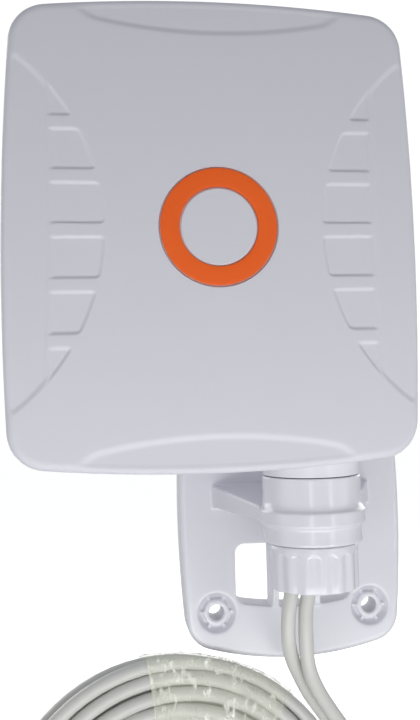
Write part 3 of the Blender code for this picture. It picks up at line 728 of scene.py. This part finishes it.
def boot_and_plug(side):
    """Moulded boot with grooves, gold plug and its hexagonal coupling nut."""
    at = (TAIL_X, TAIL_Y[side], TAIL_END[side] - 0.3)
    grooves = []
    for k in range(5):
        top = -5.0 - 2.1 * k
        grooves += [(3.55, top), (3.15, top - 0.25), (3.15, top - 1.0), (3.55, top - 1.25)]
    boot = [(0, 0), (3.0, 0), (3.3, -1.2), *grooves, (3.6, -16.2), (3.6, -18.0), (0, -18.0)]
    obj = turned(f"cable_boot_{side}", rounded(boot, 0.3, 3), 40, "boot_black", at=at)
    shade(obj)
    ride(obj, "bracket", "boot_black", f"boot_{side}")
    plug = [(0, -18.3), (2.9, -18.3), (3.1, -18.6), (3.1, -20.6), (2.8, -20.8), (2.8, -21.4),
            (3.1, -21.6), (3.1, -24), (4.0, -24.4), (4.0, -25.6), (2.2, -25.6), (2.2, -33),
            (0.7, -33.0), (0.45, -35.6), (0.15, -36.5), (0, -36.5)]
    pin = turned(f"sma_plug_{side}", rounded(plug, 0.15, 2), 40, "gold_plated", at=at)
    shade(pin)
    ride(pin, "bracket", "gold_plated", f"connector_{side}")
    nut = hexagon_nut(side, at)
    return [obj, pin, nut]


def hexagon_nut(side, at):
    flat, count = 4.6 * cos(pi / 6), 72
    rings = []
    levels = [(-25.9, 4.05, False), (-26.4, 4.6, True), (-33.4, 4.6, True), (-33.9, 4.05, False),
              (-34.3, 3.75, False), (-37.3, 3.75, False), (-37.5, 3.5, False),
              (-37.5, 3.1, False)]
    levels += [(-37.3 + 0.35 * k, 3.1 + 0.12 * (k % 2), False) for k in range(1, 28)]
    levels += [(-27.5, 2.5, False), (-25.9, 2.5, False)]
    for h, r, six in levels:
        ring = []
        for k in range(count):
            a = 2 * pi * k / count
            reach = r
            if six:
                reach = min(4.5, flat / cos((a % (pi / 3)) - pi / 6))
            ring.append((at[0] + reach * cos(a), at[1] + reach * sin(a), at[2] + h))
        rings.append(ring)
    points, faces = skin(rings, closed=True)
    obj = add_mesh(f"sma_nut_{side}", points, faces, "gold_plated")
    shade(obj, 28)
    ride(obj, f"connector_nut_{side}", "gold_plated", f"coupling_nut_{side}")
    return obj


def cables():
    for side in LEAD_X:
        cord = cable(side)
        pieces = boot_and_plug(side)
        extra = [film_wrap()] if side == "left" else []


# ---------------------------------------------------------------- front cover

def fade_in(distance, width):
    t = np.clip(distance / width, 0, 1)
    return t * t * (3 - 2 * t)


def rounded_inside(first, second, radius):
    """Depth inside two edges at once, where their corner is rounded."""
    corner = radius - np.hypot(np.maximum(radius - first, 0), np.maximum(radius - second, 0))
    return np.where((first < radius) & (second < radius), corner, np.minimum(first, second))


def relief(u, v):
    """Depth of the front face at (across, up), in millimetres below the middle plateau."""
    a, b = np.abs(u), np.abs(v)
    centre = LENS_APEX + LENS_ARC_R
    tip_x = centre - sqrt(LENS_ARC_R ** 2 - LENS_TIP ** 2)
    line = LENS_LINE_X + (tip_x - LENS_LINE_X) * (v / LENS_TIP) ** 2
    in_arc = LENS_ARC_R - np.hypot(a - centre, v)
    past_line = a - line
    rung = np.abs((v + RUNG_PITCH / 2) % RUNG_PITCH - RUNG_PITCH / 2) - RUNG_HALF
    pad = fade_in(rounded_inside(in_arc / ARC_EDGE, rung / RUNG_EDGE, PAD_ROUND), 1.0)
    rail = fade_in(past_line + 0.5, 1.0) * (1 - fade_in(past_line - RAIL_WIDTH, 1.0))
    outer = fade_in(in_arc, OUTER_EDGE) * (1 - RAIL_RISE * rail)
    beyond = fade_in(past_line + 0.5, 1.0 + RUNG_RUN_OUT * (1 - pad))
    depth = LENS_SINK * (pad + (outer - pad) * beyond)
    below = b - (CRESCENT_START + CRESCENT_BOW * u * u)
    inside = rounded_inside(below, CRESCENT_HALF_W - a, CRESCENT_ROUND)
    depth = depth + CRESCENT_SINK * fade_in(inside, CRESCENT_EDGE)
    moat_at = np.hypot(u - RING_CENTRE[0], v - RING_CENTRE[1])
    in_moat = np.minimum(moat_at - (RING_INNER_R - MOAT_WIDTH),
                         RING_OUTER_R + MOAT_WIDTH - moat_at)
    return depth + MOAT_DEPTH * fade_in(in_moat + 0.1, 0.3)


def face_rings():
    """Rings from the rounded edge to the middle of the face, round near the orange ring."""
    edge = np.array(panel_outline(EDGE_ROUND, 0.0))
    centre = np.array((*RING_CENTRE, 0.0))
    shares = list(np.linspace(0, 0.80, 128)[1:])
    shares += list(np.linspace(0.80, 0.995, 34)[1:])
    rings = [edge]
    circle_from, circle_over, circle_r = 0.60, 0.12, 34.0
    angles = np.arctan2(edge[:, 1] - centre[1], edge[:, 0] - centre[0])
    for share in shares:
        ring = centre + (edge - centre) * (1 - share)
        if share > circle_from:
            radius = circle_r * (1 - share) / (1 - circle_from)
            round_ring = centre + np.stack([radius * np.cos(angles), radius * np.sin(angles),
                                            0 * angles], axis=1)
            blend = ease((share - circle_from) / circle_over)
            ring = ring + (round_ring - ring) * blend
        rings.append(ring)
    return rings


def front_cover():
    """Side wall, rounded edge and face in one skin, with the hollow behind them."""
    rings = []
    sides = (FRONT_DEPTH, 12.0, 6.0, EDGE_ROUND + 1.2)
    for depth in sides:
        rings.append(panel_outline(0.0, depth))
    steps = 7
    for k in range(steps):
        a = radians(90 * k / steps)
        rings.append(panel_outline(EDGE_ROUND * (1 - cos(a)), EDGE_ROUND * (1 - sin(a))))
    face = face_rings()
    sunk = []
    for ring in face:
        ring = ring.copy()
        ring[:, 2] = relief(ring[:, 0], ring[:, 1])
        sunk.append(ring)
    rim = sunk[0][:, 2]
    for k, ring in enumerate(rings[len(sides):]):
        share = (k / steps) ** 2
        rings[len(sides) + k] = [(x, z, d + share * drop)
                                 for (x, z, d), drop in zip(ring, rim)]
    rings += [[tuple(p) for p in ring] for ring in sunk]
    mid = relief(np.array([RING_CENTRE[0]]), np.array([RING_CENTRE[1]]))[0]
    rings.append([(*RING_CENTRE, mid)])
    rings = list(reversed(rings))
    rings += [panel_outline(WALL, FRONT_DEPTH), panel_outline(WALL, FACE_WALL + 1.5),
              panel_outline(WALL + 1.5, FACE_WALL), [(0, 0, FACE_WALL)]]
    points, faces = skin(rings)
    cover = add_mesh("front_shell", points, faces, "cover_white", on_panel())
    cut_neck(cover)
    shade(cover, 40)
    ride(cover, "panel", "cover_white", "front_cover")


def cut_neck(cover):
    """Room for the collar and for the flange inside."""
    r = COLLAR_R + 0.3
    for radius, low, high in ((r, 5, 24), (FLANGE_POCKET_R, FLANGE_POCKET_Z, 30)):
        tool = turned("tool", [(0, low), (radius, low), (radius, high), (0, high)], 96, None,
                      at=(0, AXIS_Y, 0))
        boolean(cover, tool)


def accent_ring():
    profile = rounded([(RING_INNER_R, 0.7), (RING_INNER_R, -0.3), (RING_OUTER_R, -0.3),
                       (RING_OUTER_R, 0.7)], 0.3, 4, closed=True)
    ring = turned("orange_ring", profile, 160, "accent_orange", closed=True, place=on_panel(),
                  at=(*RING_CENTRE, 0))
    shade(ring)
    ride(ring, "panel", "accent_orange", "accent_ring")


# ---------------------------------------------------------------- rear cover and its screws

def rear_cover():
    """Hollow tray with a bulge round the neck and a column for each case screw."""
    rings = [panel_outline(0, REAR_START, REAR_STEPS)]
    corner = REAR_CORNER_R
    for k in range(8):
        a = radians(90 * k / 7)
        rings.append(panel_outline(corner * (1 - cos(a)), REAR_DEPTH - corner * (1 - sin(a)),
                                   REAR_STEPS))
    points, faces = skin(rings)
    cover = add_mesh("rear_shell", points, faces, "cover_white", on_panel())
    dome = [(BULGE_R - 8 + 8 * cos(a), BULGE_TOP - 8 + 8 * sin(a))
            for a in (radians(t) for t in range(0, 91, 10))]
    bulge = turned("bulge", [(0, 19.4), (BULGE_R - 1, 19.4), (BULGE_R, 20.4), *dome,
                             (0, BULGE_TOP)], 96, None, at=(0, AXIS_Y, 0))
    boolean(cover, bulge, "UNION")
    cavity = skin([panel_outline(WALL, REAR_START - 5, REAR_STEPS),
                   panel_outline(WALL, REAR_DEPTH - WALL, REAR_STEPS)])
    boolean(cover, add_mesh("cavity", *cavity, None, on_panel()))
    profile = [(0, FLANGE_POCKET_Z), (FLANGE_POCKET_R, FLANGE_POCKET_Z),
               (FLANGE_POCKET_R, BULGE_TOP - 8), (12, BULGE_TOP - 3), (0, BULGE_TOP - 3)]
    hollow = turned("hollow", profile, 96, None, at=(0, AXIS_Y, 0))
    boolean(cover, hollow)
    for at in CASE_SCREWS:
        boolean(cover, screw_column(at, 3.4, REAR_START, REAR_DEPTH - 1), "UNION")
        boolean(cover, screw_column(at, 1.7, 10, 31))
        boolean(cover, screw_column(at, 3.2, 29, 45))
    # everything in front of the seam goes
    front = block((-200, 100), (-140, -60), (-20, 220))
    front.data.transform(Matrix.Translation((0, (FRONT_Y + REAR_START + 60) * MM, 0)))
    front.data.transform(turn_about_axis())
    boolean(cover, front)
    cut_neck(cover)
    mod = cover.modifiers.new("edges", "BEVEL")
    mod.width = 0.35 * MM
    mod.segments = 2
    mod.angle_limit = radians(50)
    apply_modifiers(cover)
    shade(cover, 35)
    ride(cover, "panel", "cover_white", "rear_cover")


def screw_column(at, radius, low, high):
    profile = [(0, low), (radius, low), (radius, high), (0, high)]
    return turned("tool", profile, 32, None, place=on_panel(), at=(at[0], at[1], 0))


def case_screws():
    """Pan heads with a cross recess, in the rear wells."""
    for k, at in enumerate(CASE_SCREWS, 1):
        head = [(0, 9), (1.4, 10.0), (1.4, 29.3), (2.8, 29.3), (2.8, 30.2), (2.5, 30.9),
                (1.6, 31.25), (0, 31.35)]
        screw = turned(f"cover_screw_{k}", rounded(head, 0.15, 2), 32, "steel",
                       place=on_panel(), at=(at[0], at[1], 0))
        for wide, tall in ((1.5, 0.32), (0.32, 1.5)):
            arm = block((at[0] - wide, at[0] + wide), (at[1] - tall, at[1] + tall),
                        (30.3, 33))
            arm.data.transform(on_panel())
            face_outward(arm.data)
            boolean(screw, arm)
        shade(screw)
        ride(screw, "panel", "steel", f"case_screw_{k}")


# ---------------------------------------------------------------- swivel pieces

def swivel_neck():
    shoulder, flange, top = EYE_TOP + 0.3, 22.2, 25.5
    profile = [(SPIGOT_BORE_R, SPIGOT_BOTTOM), (SPIGOT_R, SPIGOT_BOTTOM), (SPIGOT_R, shoulder),
               (13.8, shoulder), (13.8, shoulder + 2.2), (16.6, shoulder + 2.2),
               (16.6, shoulder), (COLLAR_R, shoulder), (COLLAR_R, flange), (19.8, flange),
               (19.8, top), (SPIGOT_BORE_R, top)]
    neck = turned("swivel_collar", rounded(profile, 0.35, 3, closed=True), 128,
                  "bracket_white", closed=True, at=(0, AXIS_Y, 0))
    for x in (-15.2, 15.2):
        boolean(neck, turned("tool", [(0, 19), (1.5, 19), (1.5, 35), (0, 35)], 24, None,
                             at=(x, AXIS_Y, 0)))
    neck.data.transform(turn_about_axis())
    shade(neck)
    ride(neck, "panel", "bracket_white", "swivel_neck")


def washer():
    """Plain washer; the nut's lip hides its edge."""
    top = EYE_BOTTOM - 0.3
    low = top - WASHER_THICK
    profile = [(BORE_R, top), (WASHER_R, top), (WASHER_R, low), (BORE_R, low)]
    piece = turned("thrust_washer", rounded(profile, 0.3, 3, closed=True), 128,
                   "bracket_white", closed=True, at=(0, AXIS_Y, 0))
    shade(piece)
    ride(piece, "washer", "bracket_white", "clamp_washer")


def nut():
    """Ring nut: a plain rim with a lip round the washer, and flutes that end in arches."""
    count = FLUTES * 20
    lip = NUT_LIP_TOP - NUT_TOP
    levels = [(-lip, -0.45), (-lip + 0.15, -0.15), (-lip + 0.4, 0.0), (0.2, 0.0)]
    levels += [(0.2 + 0.25 * k, 0.0) for k in range(1, 14)]
    bottom = NUT_TOP - NUT_BOTTOM
    levels += [(8.0, 0.0), (11.0, -0.05), (bottom - 0.9, -0.1), (bottom - 0.35, -0.25),
               (bottom, -0.7)]
    rings = []
    inner = [(WASHER_R + 0.2, -lip), (WASHER_R + 0.2, -0.1), (BORE_R, 0.0),
             (BORE_R, bottom - 0.5), (BORE_R + 0.4, bottom)]
    for down, grow in levels:
        ring = []
        for k in range(count):
            a = 2 * pi * k / count
            groove = 0.5 - 0.5 * cos(FLUTES * a)
            arch_top = 0.3 + 1.2 * (1 - groove)
            depth = FLUTE_DEPTH * groove * ease((down - arch_top) / 1.0)
            r = NUT_R + grow - depth
            ring.append((r * cos(a), AXIS_Y + r * sin(a), NUT_TOP - down))
        rings.append(ring)
    for r, down in reversed(inner):
        rings.append([(r * cos(2 * pi * k / count), AXIS_Y + r * sin(2 * pi * k / count),
                       NUT_TOP - down) for k in range(count)])
    points, faces = skin(rings, closed=True)
    piece = add_mesh("fluted_nut", points, faces, "bracket_white")
    shade(piece, 40)
    ride(piece, "nut", "bracket_white", "clamp_nut")


def bush():
    r = SPIGOT_BORE_R - 0.3
    profile = [(0, SPIGOT_BOTTOM + 0.2), (r - 0.6, SPIGOT_BOTTOM), (r, SPIGOT_BOTTOM + 0.6),
               (r, SPIGOT_BOTTOM + 7), (0, SPIGOT_BOTTOM + 7)]
    piece = turned("cable_bush", profile, 64, "rubber_grey", at=(0, AXIS_Y, 0))
    for x in LEAD_X.values():
        boolean(piece, turned("tool", [(0, -30), (CABLE_R + 0.15, -30), (CABLE_R + 0.15, 0),
                                       (0, 0)], 32, None, at=(x, AXIS_Y, 0)))
    shade(piece)
    ride(piece, "bracket", "rubber_grey", "gland_bush")


# ---------------------------------------------------------------- wall bracket

def plate_body():
    rings = []
    for inset, y in ((1.0, 0.0), (0.3, -0.3), (0.0, -1.0), (0.0, 2.2 - PLATE_DEPTH)):
        rings.append((inset, y))
    for k in range(1, 6):
        a = radians(90 * k / 5)
        rings.append((2.2 * (1 - cos(a)), 2.2 * (1 - sin(a)) - PLATE_DEPTH))
    outline = []
    for inset, y in rings:
        points = barrel(PLATE_HALF_W, PLATE_HALF_H, PLATE_SIDE_BOW, PLATE_END_BOW,
                        PLATE_CORNER_R, inset, (8, 8, 6))
        outline.append([(x, y, z) for x, z in points])
    return add_mesh("wall_plate", *skin(outline), "bracket_white")


def arm_block():
    reach = -AXIS_Y - PLATE_DEPTH
    touch = atan((ARM_ROOT_HALF_W - EYE_FLANGE_R * 0.98) / reach)
    root = (ARM_ROOT_HALF_W, 1 - PLATE_DEPTH)
    side = (EYE_FLANGE_R * cos(touch) - 0.2, AXIS_Y + EYE_FLANGE_R * sin(touch))
    rings = []
    for root_z, tip_z in zip(ARM_ROOT_Z, ARM_TIP_Z):
        rings.append([(root[0], root[1], root_z), (side[0], side[1], tip_z),
                      (-side[0], side[1], tip_z), (-root[0], root[1], root_z)])
    return add_mesh("arm", *skin(rings), None)


def eye():
    """Turned eye of the arm: a flange, and a fillet from it up to the plain wall."""
    flare = EYE_FLANGE_R - EYE_R
    fillet = [(EYE_R + flare * (1 - sin(a)), EYE_FILLET_Z + EYE_FILLET_HIGH * (1 - cos(a)))
              for a in (radians(t) for t in range(0, 91, 15))]
    outer = [(EYE_R, EYE_BOTTOM), (EYE_R, -3.4), (EYE_FLANGE_R, -2.6), *fillet,
             (EYE_R, EYE_TOP)]
    return turned("eye", [(8, EYE_BOTTOM), *outer, (8, EYE_TOP)], 96, None, True,
                  at=(0, AXIS_Y, 0))


def gusset(x):
    """Vertical rib through the lower window, standing out under the arm."""
    half = RIB_THICK / 2
    side = [(-1.5, -13.0), (-PLATE_DEPTH - RIB_PROUD, 0.5), (-PLATE_DEPTH - RIB_PROUD, -5.0),
            (-PLATE_DEPTH - 0.5, -WINDOW_Z[1] - 1.0), (-1.5, -WINDOW_Z[1] - 1.0)]
    rings = [[(px, y, z) for y, z in side] for px in (x - half, x + half)]
    return add_mesh("gusset", *skin(rings), None)


def window(side):
    """Opening with an arched far edge and round corners."""
    outline = []
    near, far = WINDOW_Z[0], WINDOW_Z[1] - WINDOW_ARCH / 2
    half, corner = WINDOW_HALF_W, WINDOW_CORNER_R
    meets_arch = far - corner + 0.4
    for k in range(13):
        x = -half + corner + (2 * half - 2 * corner) * k / 12
        outline.append((x, far + WINDOW_ARCH * (1 - (x / half) ** 2)))
    low_arc = [(half - corner * (1 - cos(a)), near + corner - corner * sin(a))
               for a in (radians(t) for t in (0, 30, 60, 90))]
    high_arc = [(half - corner + corner * sin(a), meets_arch + corner * cos(a))
                for a in (radians(t) for t in (30, 60, 90))]
    outline += high_arc + low_arc
    outline += [(-x, z) for x, z in reversed(high_arc + low_arc)]
    rings = [[(x, y, side * z) for x, z in outline] for y in (-PLATE_DEPTH - 3, 1)]
    return add_mesh("window", *skin(rings), None)


def screw_place(x, z):
    """Tools that make one screw hole: its well, the boss inside it and the webs between."""
    front = PLATE_DEPTH
    turn = Matrix.Translation((x * MM, 0, z * MM)) @ Matrix.Rotation(radians(90), 4, "X")
    well = turned("well", [(BOSS_R, front - WELL_DEPTH), (BOSS_R + 0.8, front - WELL_DEPTH),
                           (WELL_R + 0.3, front), (WELL_R + 0.3, front + 4),
                           (BOSS_R, front + 4)], 64, None, True, turn)
    top = turned("top", [(0, front - 1.0), (BOSS_R + 0.3, front - 1.0),
                         (BOSS_R + 0.3, front + 4), (0, front + 4)], 64, None, False, turn)
    hole = turned("hole", [(0, -5), (SCREW_HOLE_R, -5), (SCREW_HOLE_R, 30), (0, 30)], 48,
                  None, False, turn)
    webs = []
    for k in range(6):
        web = block((BOSS_R - 0.5, WELL_R + 0.2), (-0.5, 0.5),
                    (front - WELL_DEPTH - 0.5, front - 1.8))
        web.data.transform(turn @ Matrix.Rotation(radians(60 * k), 4, "Z"))
        webs.append(web)
    return well, top, hole, webs


def wall_bracket():
    """Plate, arm and eye in one moulding, cut by windows, hollows, wells and the bore."""
    hollow = (-PLATE_DEPTH + BACK_WEB, 1)
    body = plate_body()
    boolean(body, arm_block(), "UNION")
    boolean(body, eye(), "UNION")
    for side in (-1, 1):
        boolean(body, window(side))
        for x_side in (-1, 1):
            pocket = block(sorted((x_side * 25.5, x_side * 42.0)), hollow,
                           sorted((side * 2.5, side * 32.0)), BACK_ROUND)
            boolean(body, pocket)
        strip = block((-21, 21), hollow, sorted((side * 44.5, side * 57.5)), BACK_ROUND)
        boolean(body, strip)
    for x in RIB_X:
        boolean(body, gusset(x), "UNION")
    for x in (-SCREW_HOLE[0], SCREW_HOLE[0]):
        for z in (-SCREW_HOLE[1], SCREW_HOLE[1]):
            well, top, hole, webs = screw_place(x, z)
            boolean(body, well)
            boolean(body, top)
            for web in webs:
                boolean(body, web, "UNION")
            boolean(body, hole)
    bore = turned("bore", [(0, -40), (BORE_R, -40), (BORE_R, 40), (0, 40)], 128, None,
                  at=(0, AXIS_Y, 0))
    boolean(body, bore)
    soften(body)
    shade(body, 60)
    ride(body, "bracket", "bracket_white", "wall_bracket")


def soften(body):
    """Even mesh whose edges are relaxed into moulded fillets."""
    mod = body.modifiers.new("remesh", "REMESH")
    mod.mode = "VOXEL"
    mod.voxel_size = BRACKET_VOXEL * MM
    apply_modifiers(body)
    relax = body.modifiers.new("relax", "SMOOTH")
    relax.factor = 0.5
    relax.iterations = 5
    apply_modifiers(body)
    body.data.materials.clear()
    body.data.materials.append(MATERIALS["bracket_white"])


# ---------------------------------------------------------------- CAD nodes that stay

def dress_cad_nodes():
    """Give each shown CAD node the material of its slot in the record."""
    for part in frame["record"]["subparts"]:
        obj, slot = nodes[part["node"]], part["material_slot"]
        if obj.hide_render:
            continue
        obj.data.materials.clear()
        obj.data.materials.append(MATERIALS[slot])


def build():
    camera()
    lights()
    studio_world()
    stage()
    cables()
    front_cover()
    accent_ring()
    rear_cover()
    case_screws()
    swivel_neck()
    washer()
    nut()
    bush()
    wall_bracket()
    dress_cad_nodes()


build()
